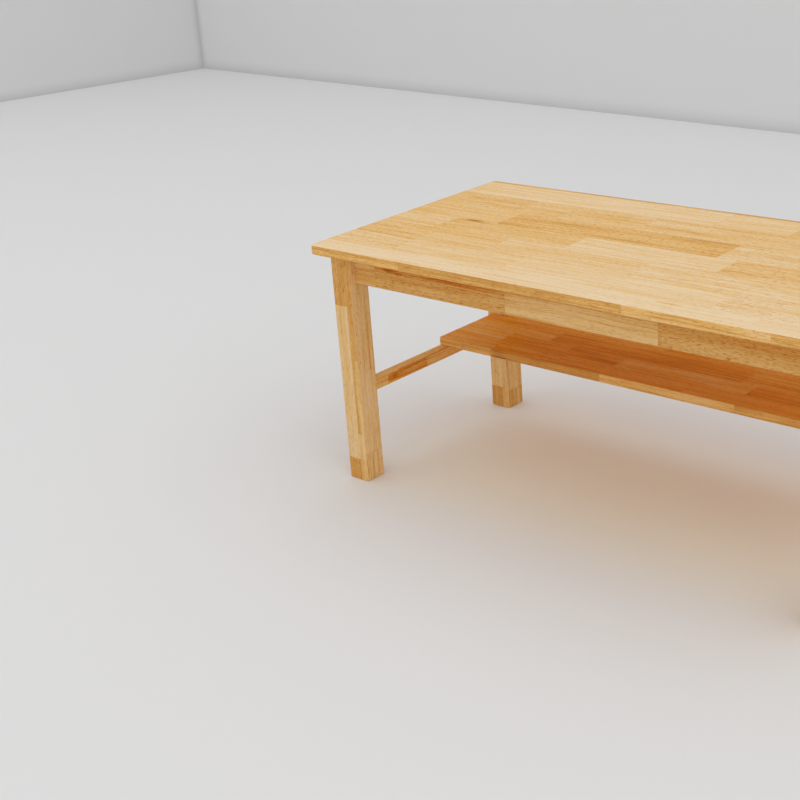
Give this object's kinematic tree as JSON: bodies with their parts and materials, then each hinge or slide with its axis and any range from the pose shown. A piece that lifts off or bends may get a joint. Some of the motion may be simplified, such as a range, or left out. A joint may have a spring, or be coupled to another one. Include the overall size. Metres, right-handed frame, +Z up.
{
  "type": "craft table",
  "caption": "Long work table in solid wood with square legs, tenoned aprons, low end stretchers and a shelf that runs along the back below the top.",
  "frame": {"origin": "on the floor, under the middle of the top", "axes": "+X along the table's length, -Y towards the sitter's side, +Z up"},
  "size_m": [1.6, 0.8, 0.7],
  "materials": {
    "top_wood": "clear satin lacquer",
    "leg_wood": "clear satin lacquer",
    "apron_wood": "clear satin lacquer",
    "stretcher_wood": "clear satin lacquer",
    "shelf_wood": "clear satin lacquer",
    "hidden_wood": "planed, one thin coat of lacquer",
    "screw_steel": "zinc plated"
  },
  "bodies": {
    "root": {"table_top": "top_wood", "leg_front_left": "leg_wood", "leg_front_right": "leg_wood", "leg_back_right": "leg_wood", "leg_back_left": "leg_wood", "apron_front": "apron_wood", "apron_back": "apron_wood", "apron_right": "apron_wood", "apron_left": "apron_wood", "cross_rail": "hidden_wood", "stretcher_left": "stretcher_wood", "stretcher_right": "stretcher_wood", "shelf": "shelf_wood", "corner_brace_front_left": "hidden_wood", "corner_brace_front_right": "hidden_wood", "corner_brace_back_right": "hidden_wood", "corner_brace_back_left": "hidden_wood", "top_buttons": "hidden_wood", "button_screws": "screw_steel", "shelf_screws": "screw_steel"}
  },
  "joints": []
}
